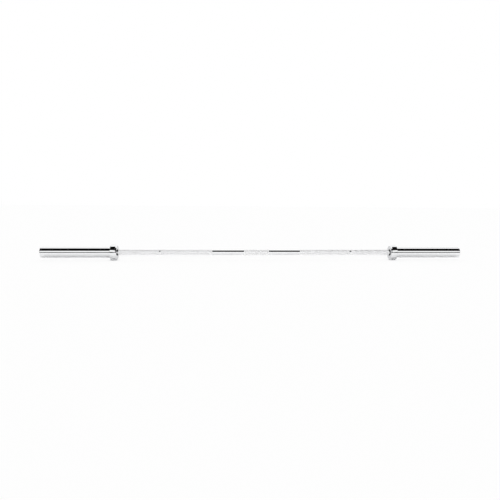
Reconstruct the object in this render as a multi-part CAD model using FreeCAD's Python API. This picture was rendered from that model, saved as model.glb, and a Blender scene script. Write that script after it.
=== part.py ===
"""Olympic barbell: a knurled steel shaft with a sleeve assembly that spins freely on each end.

Frame: X runs along the bar, Z is up, and the origin is the middle of the shaft's axis.
Units are millimetres and degrees. Every piece is a separate solid in its own STEP file.
"""

import FreeCAD, Part

import math
import os

Vector = FreeCAD.Vector

# Driving dimensions: lengths along the bar
GRIP_SPAN = 1310.0  # between the inner faces of the two collars
COLLAR_WIDTH = 30.0
LOADABLE_LENGTH = 320.0  # of each sleeve, from its collar to its end

# Driving dimensions: the shaft
GRIP_DIAMETER = 25.0
SHOULDER_HEIGHT = 1.5  # from the grip down to the ground journal that carries a sleeve
RELIEF_WIDTH = 2.0  # grinding relief in the journal, beside the shoulder
RELIEF_DEPTH = 0.3
SHAFT_END_LAND = 5.0  # steel left beyond the retaining ring's groove
SHAFT_END_CHAMFER = 1.5
CENTRE_MOUTH_DIAMETER = 6.3  # lathe centre in each end of the shaft
CENTRE_PILOT_DIAMETER = 2.5
CENTRE_PILOT_DEPTH = 6.0
CENTRE_ANGLE = 60.0

# Driving dimensions: the knurled bands and ring marks
KNURL_HEIGHT = 0.15  # how far the rolled crests stand above the ground shaft
CENTRE_KNURL_LENGTH = 120.0
SMOOTH_LENGTH = 150.0  # bare stretch on each side of the centre knurl
RING_MARK_SPAN = 910.0  # between the inner edges of the two hand-spacing marks
RING_MARK_WIDTH = 5.0
RING_MARK_DEPTH = 0.2
KNURL_TO_COLLAR = 3.0  # bare strip beside each collar

# Driving dimensions: the sleeve tube
SLEEVE_DIAMETER = 50.0
SLEEVE_END_CHAMFER = 2.0
UNDERCUT_WIDTH = 1.0  # groove beside the collar, which lets a plate sit flat on the collar's face
UNDERCUT_DEPTH = 0.4
SPIGOT_STEP = 2.0  # how far the tube is turned down to enter the collar
SPIGOT_CHAMFER = 0.8
BUSHING_SEAT_STEP = 0.6  # the ledge that stops each bushing in the tube's bore
CHAMBER_STEP = 1.0  # from the bushing seat out to the chamber beyond it
CAP_LEDGE = 2.0  # the ledge that the end cap seats on

# Driving dimensions: the collar
COLLAR_STEP = 11.0  # how far the collar stands above the sleeve
COLLAR_TAPER_LENGTH = 5.0  # along the bar, from the inner face out to the rim
COLLAR_TAPER_HEIGHT = 4.0
COLLAR_EDGE_CHAMFER = 1.0  # on the edge beside the plates
COLLAR_MOUTH_CHAMFER = 0.4
COLLAR_REGISTER = 2.0  # how far the tube's undercut diameter enters the collar

# Driving dimensions: the dust seal in the collar's inner face
SEAL_WIDTH = 3.5  # radial
SEAL_THICKNESS = 3.9
SEAL_SETBACK = 0.6  # how far it sits below the collar's face
SEAL_WEB_THICKNESS = 1.5  # the collar's wall behind it
SEAL_LIP_WIDTH = 0.9
SEAL_CHANNEL_WIDTH = 1.2  # the channel that frees the lip from the seal's body
SEAL_CHANNEL_DEPTH = 1.8

# Driving dimensions: the bushings and thrust washers
BUSHING_WALL = 5.4
BUSHING_LENGTH = 30.0
BUSHING_CHAMFER = 0.8
GREASE_GROOVE_WIDTH = 4.0
GREASE_GROOVE_DEPTH = 1.0
WASHER_THICKNESS = 2.0
WASHER_CHAMFER = 0.3

# Driving dimensions: the retaining ring on the shaft
SHAFT_RING_THICKNESS = 1.2
SHAFT_RING_SEAT = 0.5  # groove depth
SHAFT_RING_WIDTH = 2.8  # radial, opposite the gap
SHAFT_RING_LUG = 4.2  # radial
SHAFT_RING_GAP = 4.0
SHAFT_RING_HOLE = 2.0

# Driving dimensions: the end cap and its retaining ring
CAP_THICKNESS = 4.0
CAP_CHAMFER = 0.5
CAP_BOSS_HEIGHT = 1.4
CAP_BOSS_RIM = 3.0  # width of the boss's rim, round its dished middle
CAP_DISH_DEPTH = 0.8
CAP_RING_THICKNESS = 1.5
CAP_RING_SEAT = 1.25  # groove depth
CAP_RING_WIDTH = 4.0
CAP_RING_LUG = 5.5
CAP_RING_GAP = 8.0
CAP_RING_HOLE = 2.5
CAP_RING_TO_END = 2.5  # from the ring's groove to the sleeve's end

# Shape of both retaining rings, as shares of their own sizes
RING_THINNING = 0.25  # the round edges' offset, as a share of the ring's width
RING_LUG_INSET = 0.38  # from the gap to a lug's centre, as a share of the lug's length

# Clearances
RUNNING_CLEARANCE = 0.05  # radial, journal in bushing
END_FLOAT = 0.25  # axial, at each end of a sleeve
WASHER_BORE_CLEARANCE = 0.1  # radial, washer round the journal
WASHER_RIM_CLEARANCE = 0.5  # radial, washer inside the tube
WEB_CLEARANCE = 0.5  # radial, shaft through the collar's wall
LIP_CLEARANCE = 0.1  # radial, seal lip round the shaft
RING_SIDE_CLEARANCE = 0.05  # axial, retaining ring in its groove
CAP_RIM_CLEARANCE = 0.1  # radial, cap in its recess
CAP_BOSS_CLEARANCE = 1.5  # radial, cap boss inside its ring's lugs
CAP_TO_SHAFT = 4.0  # axial, cap to the shaft's end

# Radii, from the shaft outwards
grip_radius = GRIP_DIAMETER / 2
journal_radius = grip_radius - SHOULDER_HEIGHT
shaft_ring_bore = journal_radius - SHAFT_RING_SEAT
web_radius = grip_radius + WEB_CLEARANCE
seal_radius = grip_radius + SEAL_WIDTH
bushing_bore = journal_radius + RUNNING_CLEARANCE
bushing_radius = bushing_bore + BUSHING_WALL
tube_bore = bushing_radius - BUSHING_SEAT_STEP
washer_radius = bushing_radius - WASHER_RIM_CLEARANCE
chamber_radius = bushing_radius + CHAMBER_STEP
cap_recess_radius = chamber_radius + CAP_LEDGE
cap_ring_radius = cap_recess_radius + CAP_RING_SEAT
cap_boss_radius = cap_ring_radius - CAP_RING_LUG - CAP_BOSS_CLEARANCE
sleeve_radius = SLEEVE_DIAMETER / 2
undercut_radius = sleeve_radius - UNDERCUT_DEPTH
spigot_radius = sleeve_radius - SPIGOT_STEP
collar_radius = sleeve_radius + COLLAR_STEP

# Stations on the right-hand half, from the middle of the bar outwards to the inner bushing
collar_inner_face = GRIP_SPAN / 2
collar_outer_face = collar_inner_face + COLLAR_WIDTH
sleeve_shoulder = collar_outer_face - COLLAR_REGISTER
undercut_end = collar_outer_face + UNDERCUT_WIDTH
seal_face = collar_inner_face + SEAL_SETBACK
seal_seat = seal_face + SEAL_THICKNESS
tube_inner_end = seal_seat + SEAL_WEB_THICKNESS
shaft_shoulder = tube_inner_end + END_FLOAT
inner_washer_start = shaft_shoulder + END_FLOAT
inner_bushing_start = inner_washer_start + WASHER_THICKNESS
inner_bushing_end = inner_bushing_start + BUSHING_LENGTH

# Stations from the sleeve's end inwards to the outer bushing
sleeve_end = collar_outer_face + LOADABLE_LENGTH
cap_groove_end = sleeve_end - CAP_RING_TO_END
cap_ring_start = cap_groove_end - RING_SIDE_CLEARANCE - CAP_RING_THICKNESS
cap_groove_start = cap_ring_start - RING_SIDE_CLEARANCE
cap_seat = cap_ring_start - CAP_THICKNESS
shaft_end = cap_seat - CAP_TO_SHAFT
shaft_groove_end = shaft_end - SHAFT_END_LAND
shaft_ring_start = shaft_groove_end - RING_SIDE_CLEARANCE - SHAFT_RING_THICKNESS
shaft_groove_start = shaft_ring_start - RING_SIDE_CLEARANCE
outer_washer_start = shaft_ring_start - WASHER_THICKNESS
outer_bushing_end = outer_washer_start - END_FLOAT
outer_bushing_start = outer_bushing_end - BUSHING_LENGTH


def turned(outline):
    """A solid of revolution about X from a closed outline of (station, radius) points."""
    corners = [Vector(x, 0, radius) for x, radius in outline]
    face = Part.Face(Part.makePolygon(corners + corners[:1]))
    return face.revolve(Vector(0, 0, 0), Vector(1, 0, 0), 360)


def disc(radius, start, thickness, y=0.0, z=0.0):
    """A plain cylinder along X whose axis passes through (y, z)."""
    return Part.makeCylinder(radius, thickness, Vector(start, y, z), Vector(1, 0, 0))


def at_left_end(shape):
    """A copy of a right-hand shape, carried to the left end by half a turn about Z."""
    copy = shape.copy()
    copy.rotate(Vector(0, 0, 0), Vector(0, 0, 1), 180)
    return copy


def shaft():
    """The one-piece bar: knurled grip, smooth stretches, ring marks and a ground journal at each end."""
    crest = grip_radius + KNURL_HEIGHT
    centre_end = CENTRE_KNURL_LENGTH / 2
    hands_start = centre_end + SMOOTH_LENGTH
    mark_start = RING_MARK_SPAN / 2
    mark_end = mark_start + RING_MARK_WIDTH
    mark_floor = grip_radius - RING_MARK_DEPTH
    hands_end = collar_inner_face - KNURL_TO_COLLAR
    relief_end = shaft_shoulder + RELIEF_WIDTH
    relief_radius = journal_radius - RELIEF_DEPTH
    right_half = [
        (centre_end - KNURL_HEIGHT, crest),
        (centre_end, grip_radius),
        (hands_start, grip_radius),
        (hands_start + KNURL_HEIGHT, crest),
        (mark_start - KNURL_HEIGHT, crest),
        (mark_start, grip_radius),
        (mark_start + RING_MARK_DEPTH, mark_floor),
        (mark_end - RING_MARK_DEPTH, mark_floor),
        (mark_end, grip_radius),
        (mark_end + KNURL_HEIGHT, crest),
        (hands_end - KNURL_HEIGHT, crest),
        (hands_end, grip_radius),
        (shaft_shoulder, grip_radius),
        (shaft_shoulder, relief_radius),
        (relief_end, relief_radius),
        (relief_end + RELIEF_DEPTH, journal_radius),
        (shaft_groove_start, journal_radius),
        (shaft_groove_start, shaft_ring_bore),
        (shaft_groove_end, shaft_ring_bore),
        (shaft_groove_end, journal_radius),
        (shaft_end - SHAFT_END_CHAMFER, journal_radius),
        (shaft_end, journal_radius - SHAFT_END_CHAMFER),
        (shaft_end, 0),
    ]
    left_half = [(-x, radius) for x, radius in reversed(right_half)]
    hole = lathe_centre()
    return turned(left_half + right_half).cut([hole, at_left_end(hole)])


def lathe_centre():
    """The coned hole that held the right-hand end of the shaft while it was turned."""
    mouth = CENTRE_MOUTH_DIAMETER / 2
    pilot = CENTRE_PILOT_DIAMETER / 2
    cone_start = shaft_end - (mouth - pilot) / math.tan(math.radians(CENTRE_ANGLE / 2))
    tip = cone_start - CENTRE_PILOT_DEPTH
    return turned(
        [
            (tip, 0),
            (tip + pilot, pilot),
            (cone_start, pilot),
            (shaft_end, mouth),
            (shaft_end, 0),
        ]
    )


def sleeve_tube():
    """The loading sleeve: spigot for the collar, a bushing seat near each end, and a mouth for the cap."""
    return turned(
        [
            (tube_inner_end, bushing_radius),
            (tube_inner_end, spigot_radius - SPIGOT_CHAMFER),
            (tube_inner_end + SPIGOT_CHAMFER, spigot_radius),
            (sleeve_shoulder, spigot_radius),
            (sleeve_shoulder, undercut_radius),
            (undercut_end, undercut_radius),
            (undercut_end, sleeve_radius),
            (sleeve_end - SLEEVE_END_CHAMFER, sleeve_radius),
            (sleeve_end, sleeve_radius - SLEEVE_END_CHAMFER),
            (sleeve_end, cap_recess_radius),
            (cap_groove_end, cap_recess_radius),
            (cap_groove_end, cap_ring_radius),
            (cap_groove_start, cap_ring_radius),
            (cap_groove_start, cap_recess_radius),
            (cap_seat, cap_recess_radius),
            (cap_seat, chamber_radius),
            (outer_bushing_end, chamber_radius),
            (outer_bushing_end, bushing_radius),
            (outer_bushing_start, bushing_radius),
            (outer_bushing_start, tube_bore),
            (inner_bushing_end, tube_bore),
            (inner_bushing_end, bushing_radius),
        ]
    )


def collar():
    """The collar that stops the plates: a cup pressed on the tube's spigot, closed round the shaft."""
    edge = COLLAR_EDGE_CHAMFER
    mouth = COLLAR_MOUTH_CHAMFER
    return turned(
        [
            (collar_inner_face, seal_radius + mouth),
            (collar_inner_face, collar_radius - COLLAR_TAPER_HEIGHT),
            (collar_inner_face + COLLAR_TAPER_LENGTH, collar_radius),
            (collar_outer_face - edge, collar_radius),
            (collar_outer_face, collar_radius - edge),
            (collar_outer_face, sleeve_radius + mouth),
            (collar_outer_face - mouth - UNDERCUT_DEPTH, undercut_radius),
            (sleeve_shoulder, undercut_radius),
            (sleeve_shoulder, spigot_radius),
            (tube_inner_end, spigot_radius),
            (tube_inner_end, web_radius),
            (seal_seat, web_radius),
            (seal_seat, seal_radius),
            (collar_inner_face + mouth, seal_radius),
        ]
    )


def dust_seal():
    """The rubber wiper ring in the collar's inner face, with a lip that leans towards the shaft."""
    lip_edge = grip_radius + LIP_CLEARANCE
    lip_back = lip_edge + SEAL_LIP_WIDTH
    channel_wall = lip_back + SEAL_CHANNEL_WIDTH
    channel_floor = seal_face + SEAL_CHANNEL_DEPTH
    return turned(
        [
            (seal_face, lip_edge),
            (seal_face, lip_back),
            (channel_floor, lip_back),
            (channel_floor, channel_wall),
            (seal_face, channel_wall),
            (seal_face, seal_radius),
            (seal_seat, seal_radius),
            (seal_seat, web_radius),
            (channel_floor, web_radius),
        ]
    )


def bushing(start):
    """A bronze bushing pressed into the tube, with a grease groove round its bore."""
    end = start + BUSHING_LENGTH
    groove_radius = bushing_bore + GREASE_GROOVE_DEPTH
    groove_start = start + (BUSHING_LENGTH - GREASE_GROOVE_WIDTH) / 2
    groove_end = groove_start + GREASE_GROOVE_WIDTH
    chamfer = BUSHING_CHAMFER
    return turned(
        [
            (start, bushing_bore + chamfer),
            (start, bushing_radius - chamfer),
            (start + chamfer, bushing_radius),
            (end - chamfer, bushing_radius),
            (end, bushing_radius - chamfer),
            (end, bushing_bore + chamfer),
            (end - chamfer, bushing_bore),
            (groove_end, bushing_bore),
            (groove_end, groove_radius),
            (groove_start, groove_radius),
            (groove_start, bushing_bore),
            (start + chamfer, bushing_bore),
        ]
    )


def thrust_washer(start):
    """A flat washer with its outer edges broken."""
    end = start + WASHER_THICKNESS
    bore = journal_radius + WASHER_BORE_CLEARANCE
    return turned(
        [
            (start, bore),
            (start, washer_radius - WASHER_CHAMFER),
            (start + WASHER_CHAMFER, washer_radius),
            (end - WASHER_CHAMFER, washer_radius),
            (end, washer_radius - WASHER_CHAMFER),
            (end, bore),
        ]
    )


def lug_centres(gap, lug, radius):
    """Where a retaining ring's two lugs sit, as (y, z), one on each side of a gap that faces +Z."""
    side = gap / 2 + RING_LUG_INSET * lug
    height = math.sqrt(radius**2 - side**2)
    return [(-side, height), (side, height)]


def with_lugs(band, start, thickness, centres, lug, hole):
    """A retaining ring's band with its round lugs added and their plier holes cut."""
    lugs = [disc(lug / 2, start, thickness, y, z) for y, z in centres]
    holes = [disc(hole / 2, start, thickness, y, z) for y, z in centres]
    return band.fuse(lugs).cut(holes)


def ring_gap(start, thickness, width, reach):
    """The slot between a retaining ring's lugs, from the axis towards +Z."""
    return Part.makeBox(thickness, width, reach, Vector(start, -width / 2, 0))


def shaft_retaining_ring():
    """The outside ring: its bore fits the groove, and its outer edge is offset to thin it at the lugs."""
    start = shaft_ring_start
    thickness = SHAFT_RING_THICKNESS
    offset = RING_THINNING * SHAFT_RING_WIDTH
    edge_radius = shaft_ring_bore + SHAFT_RING_WIDTH - offset
    centres = lug_centres(SHAFT_RING_GAP, SHAFT_RING_LUG, shaft_ring_bore + SHAFT_RING_LUG / 2)
    blank = disc(edge_radius, start, thickness, z=-offset)
    blank = with_lugs(blank, start, thickness, centres, SHAFT_RING_LUG, SHAFT_RING_HOLE)
    bore = disc(shaft_ring_bore, start, thickness)
    gap = ring_gap(start, thickness, SHAFT_RING_GAP, shaft_ring_bore + SHAFT_RING_LUG)
    return blank.cut([bore, gap]).removeSplitter()


def cap_retaining_ring():
    """The inside ring: its rim fits the groove, and its bore is offset to thin it at the lugs."""
    start = cap_ring_start
    thickness = CAP_RING_THICKNESS
    offset = RING_THINNING * CAP_RING_WIDTH
    edge_radius = cap_ring_radius - CAP_RING_WIDTH + offset
    centres = lug_centres(CAP_RING_GAP, CAP_RING_LUG, cap_ring_radius - CAP_RING_LUG / 2)
    rim = disc(cap_ring_radius, start, thickness)
    band = rim.cut(disc(edge_radius, start, thickness, z=offset))
    band = with_lugs(band, start, thickness, centres, CAP_RING_LUG, CAP_RING_HOLE)
    gap = ring_gap(start, thickness, CAP_RING_GAP, cap_ring_radius)
    return band.common(rim).cut(gap).removeSplitter()


def end_cap():
    """The turned disc that closes the sleeve, with a low dished boss inside its retaining ring."""
    rim = cap_recess_radius - CAP_RIM_CLEARANCE
    boss_top = cap_ring_start + CAP_BOSS_HEIGHT
    dish_floor = boss_top - CAP_DISH_DEPTH
    dish_radius = cap_boss_radius - CAP_BOSS_RIM
    return turned(
        [
            (cap_seat, 0),
            (cap_seat, rim - CAP_CHAMFER),
            (cap_seat + CAP_CHAMFER, rim),
            (cap_ring_start - CAP_CHAMFER, rim),
            (cap_ring_start, rim - CAP_CHAMFER),
            (cap_ring_start, cap_boss_radius),
            (boss_top - CAP_CHAMFER, cap_boss_radius),
            (boss_top, cap_boss_radius - CAP_CHAMFER),
            (boss_top, dish_radius),
            (dish_floor, dish_radius - CAP_DISH_DEPTH),
            (dish_floor, 0),
        ]
    )


def right_end_pieces():
    """Every piece at the right-hand end of the bar, by name, from the collar outwards."""
    return {
        "collar": collar(),
        "dust_seal": dust_seal(),
        "sleeve_tube": sleeve_tube(),
        "inner_thrust_washer": thrust_washer(inner_washer_start),
        "inner_bushing": bushing(inner_bushing_start),
        "outer_bushing": bushing(outer_bushing_start),
        "outer_thrust_washer": thrust_washer(outer_washer_start),
        "shaft_retaining_ring": shaft_retaining_ring(),
        "end_cap": end_cap(),
        "cap_retaining_ring": cap_retaining_ring(),
    }


def barbell():
    """Every piece of the bar, by node name."""
    pieces = {"shaft": shaft()}
    for name, shape in right_end_pieces().items():
        pieces["right_" + name] = shape
        pieces["left_" + name] = at_left_end(shape)
    return pieces


def main():
    """Writes one STEP file for each piece."""
    os.makedirs("parts", exist_ok=True)
    for name, shape in barbell().items():
        shape.exportStep(f"parts/{name}.step")
        print(f"{name}: {len(shape.Solids)} solid, valid {shape.isValid()}, {shape.Volume:.1f} mm3")


main()
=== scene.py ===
"""Olympic barbell: the dressed model, its studio and its camera.

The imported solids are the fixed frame, with X along the bar and Z up. Every piece that shows is modelled
here again, finely, at the solids' own sizes: the knurled shaft and, at each end, the tube, collar, dust
seal, end cap and retaining ring of a sleeve that spins. The bearing pieces inside keep their solids and
get better finishes. Sizes are millimetres unless a comment says otherwise.
"""

import logging
import math
from dataclasses import dataclass
from enum import Enum
from typing import Callable, Sequence

import bmesh
import bpy
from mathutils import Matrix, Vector

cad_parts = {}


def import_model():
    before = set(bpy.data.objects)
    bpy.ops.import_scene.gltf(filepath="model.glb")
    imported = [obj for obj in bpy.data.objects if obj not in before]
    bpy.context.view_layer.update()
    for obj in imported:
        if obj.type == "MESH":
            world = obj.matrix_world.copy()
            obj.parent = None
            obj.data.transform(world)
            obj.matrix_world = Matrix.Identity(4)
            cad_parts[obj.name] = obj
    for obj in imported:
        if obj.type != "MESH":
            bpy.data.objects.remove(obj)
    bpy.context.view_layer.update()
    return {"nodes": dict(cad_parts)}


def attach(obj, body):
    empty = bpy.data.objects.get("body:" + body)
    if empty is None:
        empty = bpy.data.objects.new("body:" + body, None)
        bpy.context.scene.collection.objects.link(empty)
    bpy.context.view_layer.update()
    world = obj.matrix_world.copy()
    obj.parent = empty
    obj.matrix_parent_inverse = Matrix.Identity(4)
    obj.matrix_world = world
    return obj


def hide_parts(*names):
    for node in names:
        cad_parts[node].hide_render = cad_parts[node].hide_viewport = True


LOG = logging.getLogger("barbell")
MM = 0.001
WELD = 2e-6  # metres: points closer than this are one point
SEAM_WELD = 5.0 * WELD  # metres: the same where a rolled sheet meets itself
BLANK_SIDES = 96
SHARP_EDGE = 20.0  # degrees: an edge that turns by more is eased
SMOOTH_EDGE = 50.0  # degrees: an edge that turns by less is shaded smoothly
FLAT_WEIGHT = 90  # how far the large faces settle the shading, out of 100

Triple = tuple[float, float, float]
Colour = Triple
Cells = Triple  # noise cells in a metre along X, Y and Z
Corner = tuple[float, float]  # (station along the bar, radius)

WHITE: Colour = (1.0, 1.0, 1.0)


def grey(tone: float) -> Colour:
    """A neutral colour."""
    return (tone, tone, tone)


class Side(Enum):
    """The two ends of the bar."""

    LEFT = "left"
    RIGHT = "right"

    @property
    def body(self) -> str:
        """The body that spins at this end."""
        return f"{self.value}_sleeve"

    def named(self, piece: str) -> str:
        """The name of a piece at this end."""
        return f"{self.value}_{piece}"


class Form(Enum):
    """How a turned piece closes: a solid has a face at both ends, and a ring meets its own first edge."""

    SOLID = "solid"
    RING = "ring"


class Value:
    """One shader output that takes part in Python arithmetic."""

    def __init__(self, recipe: "Recipe", socket: bpy.types.NodeSocket) -> None:
        """Keeps the socket and the recipe that further nodes go into."""
        self.recipe = recipe
        self.socket = socket

    def __add__(self, other: "float | Value") -> "Value":
        """This value plus another."""
        return self.recipe.math("ADD", self, other)

    __radd__ = __add__

    def __sub__(self, other: "float | Value") -> "Value":
        """This value less another."""
        return self.recipe.math("SUBTRACT", self, other)

    def __rsub__(self, other: float) -> "Value":
        """A number less this value."""
        return self.recipe.math("SUBTRACT", other, self)

    def __mul__(self, other: "float | Value") -> "Value":
        """This value times another."""
        return self.recipe.math("MULTIPLY", self, other)

    __rmul__ = __mul__

    def __abs__(self) -> "Value":
        """This value without its sign."""
        return self.recipe.math("ABSOLUTE", self)


class Recipe:
    """The node tree of one finish, of the floor or of the room, filled node by node."""

    # A Mix node's colour sockets go by index, because its other kinds share their names.
    MIX_FACTOR = 0
    MIX_FIRST = 6
    MIX_SECOND = 7
    MIX_RESULT = 2

    def __init__(self, tree: bpy.types.NodeTree) -> None:
        """Takes over a node tree and empties it."""
        self.tree = tree
        tree.nodes.clear()

    def node(self, kind: str, settings: dict | None = None, sockets: dict | None = None) -> bpy.types.Node:
        """Adds one node.

        Args:
            kind: The node's type.
            settings: Its own properties by name, which are set first.
            sockets: A number, colour, vector or Value for each input, by name or index.

        Returns:
            The node.
        """
        made = self.tree.nodes.new(kind)
        for name, setting in (settings or {}).items():
            setattr(made, name, setting)
        for name, given in (sockets or {}).items():
            if isinstance(given, Value):
                self.tree.links.new(given.socket, made.inputs[name])
            else:
                made.inputs[name].default_value = given
        return made

    def value(
        self, output: str | int, kind: str, settings: dict | None = None, sockets: dict | None = None
    ) -> Value:
        """Adds one node and gives one of its outputs.

        Args:
            output: The output's name or index.
            kind: The node's type.
            settings: Its own properties by name.
            sockets: What each input gets.

        Returns:
            The output, ready for arithmetic.
        """
        return Value(self, self.node(kind, settings, sockets).outputs[output])

    def math(self, operation: str, *values: "float | Value") -> Value:
        """One step of arithmetic on values."""
        return self.value("Value", "ShaderNodeMath", {"operation": operation}, dict(enumerate(values)))

    def place(self) -> Value:
        """Where a point is in the row's frame, in metres."""
        return self.value("Object", "ShaderNodeTexCoord")

    def radius(self) -> Value:
        """A point's distance from the bar's axis, in metres."""
        across = self.vector("MULTIPLY", self.place(), (0.0, 1.0, 1.0))
        return self.measure("LENGTH", across)

    def vector(self, operation: str, *vectors: "Value | Vector | Triple") -> Value:
        """One step of vector arithmetic."""
        settings = {"operation": operation}
        return self.value("Vector", "ShaderNodeVectorMath", settings, dict(enumerate(vectors)))

    def measure(self, operation: str, *vectors: "Value | Vector | Triple") -> Value:
        """One number from vectors, such as a length."""
        settings = {"operation": operation}
        return self.value("Value", "ShaderNodeVectorMath", settings, dict(enumerate(vectors)))

    def component(self, axis: str, vector: Value) -> Value:
        """One component of a vector."""
        return self.value(axis, "ShaderNodeSeparateXYZ", None, {0: vector})

    def smooth_step(self, value: Value, low: float, high: float) -> Value:
        """Rises smoothly from 0 at low to 1 at high.

        Args:
            value: What is compared.
            low: Where the rise starts.
            high: Where it ends.

        Returns:
            The step.
        """
        settings = {"interpolation_type": "SMOOTHSTEP", "clamp": True}
        return self.value(
            "Result", "ShaderNodeMapRange", settings, {"Value": value, "From Min": low, "From Max": high}
        )

    def noise(self, cells: Cells, detail: float, roughness: float = 0.5) -> Value:
        """Soft random cells.

        Args:
            cells: Cells in a metre along X, Y and Z.
            detail: How many finer layers are added.
            roughness: How strong the finer layers are.

        Returns:
            The noise, from 0 to 1.
        """
        stretched = self.vector("MULTIPLY", self.place(), cells)
        return self.value(
            "Fac",
            "ShaderNodeTexNoise",
            {"noise_dimensions": "3D"},
            {"Vector": stretched, "Scale": 1.0, "Detail": detail, "Roughness": roughness},
        )

    def rings(self, per_metre: float, detail: float, roughness: float) -> Value:
        """Random turning rings round the bar's axis, by radius alone.

        Args:
            per_metre: Rings in a metre of radius.
            detail: How many finer layers are added.
            roughness: How strong the finer layers are.

        Returns:
            The rings, from 0 to 1.
        """
        return self.value(
            "Fac",
            "ShaderNodeTexNoise",
            {"noise_dimensions": "1D"},
            {"W": self.radius() * per_metre, "Scale": 1.0, "Detail": detail, "Roughness": roughness},
        )

    def mix(self, factor: "float | Value", first: "Value | tuple", second: "Value | tuple") -> Value:
        """Blends two colours.

        Args:
            factor: 0 gives the first colour, and 1 the second.
            first: The first colour.
            second: The second colour.

        Returns:
            The blend.
        """
        settings = {"data_type": "RGBA", "clamp_factor": True}
        sockets = {
            self.MIX_FACTOR: factor,
            self.MIX_FIRST: self.rgba(first),
            self.MIX_SECOND: self.rgba(second),
        }
        return self.value(self.MIX_RESULT, "ShaderNodeMix", settings, sockets)

    @staticmethod
    def rgba(colour: "Value | tuple") -> "Value | tuple":
        """A plain colour with its alpha added; a linked one as it is."""
        return colour if isinstance(colour, Value) else (*colour, 1.0)

    def bump(self, height: Value, strength: float, depth: float) -> Value:
        """A normal tilted by a height pattern.

        Args:
            height: The pattern, from 0 to 1.
            strength: How much of the tilt is used.
            depth: The pattern's full height, in metres.

        Returns:
            The normal.
        """
        return self.value(
            "Normal", "ShaderNodeBump", None, {"Height": height, "Strength": strength, "Distance": depth}
        )

    def surface(self, sockets: dict) -> None:
        """Ends a finish with its main shader and output."""
        shader = self.value("BSDF", "ShaderNodeBsdfPrincipled", None, sockets)
        self.node("ShaderNodeOutputMaterial", None, {"Surface": shader})


@dataclass(frozen=True)
class Patches:
    """Soft random patches on a surface, which set in between two levels of noise."""

    cells: Cells
    low: float
    high: float
    detail: float = 3.0
    roughness: float = 0.5

    def mask(self, recipe: Recipe) -> Value:
        """Where the patches are, from 0 to 1."""
        noise = recipe.noise(self.cells, self.detail, self.roughness)
        return recipe.smooth_step(noise, self.low, self.high)


@dataclass(frozen=True)
class Relief:
    """A fine relief that catches the light: how much it tilts the surface, and its full height."""

    strength: float
    height: float

    def normal(self, recipe: Recipe, pattern: Value) -> Value:
        """The normal of a surface whose height follows a pattern from 0 to 1."""
        return recipe.bump(pattern, self.strength, self.height * MM)


@dataclass(frozen=True)
class Grain(Relief):
    """A relief of soft random cells."""

    cells: Cells
    detail: float = 2.0
    roughness: float = 0.5

    def pattern(self, recipe: Recipe) -> Value:
        """The cells' height, from 0 to 1."""
        return recipe.noise(self.cells, self.detail, self.roughness)


@dataclass(frozen=True)
class TurningRings(Relief):
    """The relief of a facing cut: fine rings round the bar's axis."""

    per_metre: float  # rings in a metre of radius
    detail: float = 3.0
    roughness: float = 0.6

    def pattern(self, recipe: Recipe) -> Value:
        """The rings' height, from 0 to 1."""
        return recipe.rings(self.per_metre, self.detail, self.roughness)


@dataclass(frozen=True)
class PaintedCollarShade:
    """Painted shade on the shaft's last few millimetres before each collar, in the gap between shaft and
    collar.
    """

    # the painted shade's colour, near black
    colour: Colour = (0.07, 0.068, 0.064)
    start: float = 650.0
    full: float = 652.5
    edge_cells: Cells = (90.0, 130.0, 130.0)
    edge_detail: float = 2.0
    edge_waver: float = 4.0  # how far the painted shade's edge wanders along the bar
    highlight_height: float = 1.5  # above the bar's axis: middle of a band at the front and back left unshaded, where the highlight shows
    unshaded_half: float = 2.5  # nearer than this to that height no shade is painted
    left_half: float = 6.5  # and further from it all of the painted shade

    def over(self, recipe: Recipe, metal: Value) -> Value:
        """Paints shade on a metal near the collars, apart from a band at mid-height, front and back, where
        the highlight shows.

        Args:
            recipe: The material that the shade is painted on.
            metal: The colour of the clean metal.

        Returns:
            The colour with the painted shade on it.
        """
        # painted shade: dark over the last millimetres before each collar, thinned at the height where the
        # highlight shows
        station = abs(recipe.component("X", recipe.place()))
        uneven = recipe.noise(self.edge_cells, self.edge_detail) - 0.5
        wavering = station + uneven * (self.edge_waver * MM)
        shaded_along = recipe.smooth_step(wavering, self.start * MM, self.full * MM)
        height = abs(recipe.component("Z", recipe.place()) - self.highlight_height * MM)
        left = recipe.smooth_step(height, self.unshaded_half * MM, self.left_half * MM)
        return recipe.mix(shaded_along * left, metal, self.colour)


@dataclass(frozen=True)
class Finish:
    """A surface finish, made into one material however many pieces wear it."""

    label: str
    slot: str

    def material(self) -> bpy.types.Material:
        """Makes the finish into a material when it is first asked for.

        Returns:
            The material.
        """
        found = bpy.data.materials.get(self.label)
        if found is None:
            found = bpy.data.materials.new(self.label)
            found.use_nodes = True
            self.paint(Recipe(found.node_tree))
        return found

    def paint(self, recipe: Recipe) -> None:
        """Fills the node tree; each finish has its own way."""
        raise NotImplementedError(self.label)


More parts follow.
